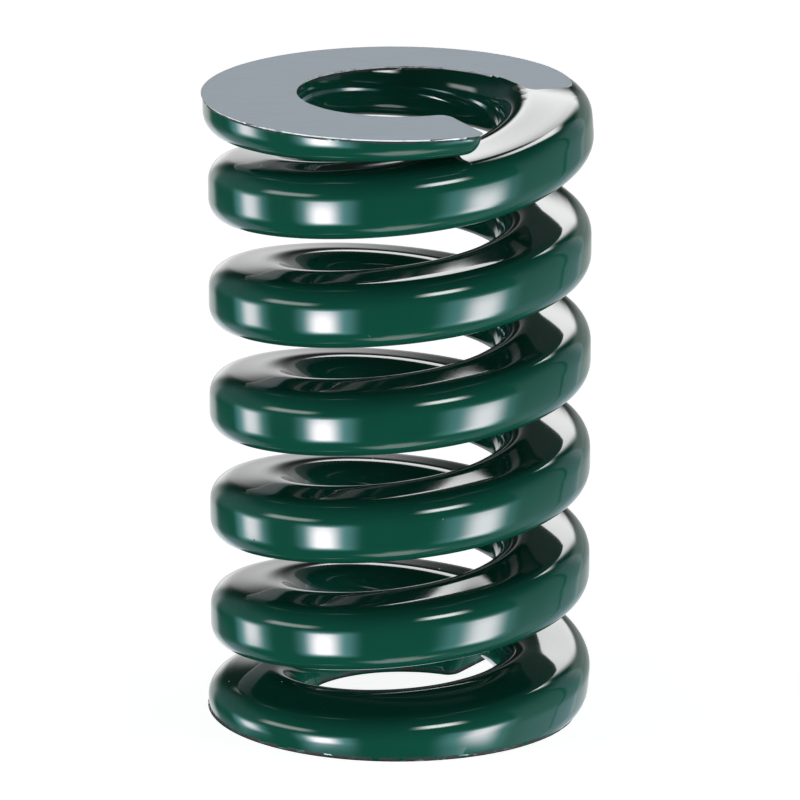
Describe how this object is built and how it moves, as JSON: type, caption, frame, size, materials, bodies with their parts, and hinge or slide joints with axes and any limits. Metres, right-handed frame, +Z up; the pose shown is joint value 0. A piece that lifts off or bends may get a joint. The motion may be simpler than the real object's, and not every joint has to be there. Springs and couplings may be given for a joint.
{
  "type": "die spring",
  "caption": "Heavy helical compression spring of keystone-section wire with closed, flat-ground ends, green lacquered, for a round guide rod.",
  "frame": {"origin": "on the spring's axis, in the plane of the lower ground end face", "axes": "+Z up along the coil's axis; +X and +Y across it, with the upper tip 60 degrees clockwise of +X seen from above"},
  "size_m": [0.0305, 0.0306, 0.05],
  "materials": {
    "green_lacquer": "glossy dark green lacquer on spring steel; the two ground end faces are bare, satin steel"
  },
  "bodies": {
    "root": {"die_spring": "green_lacquer"}
  },
  "joints": []
}
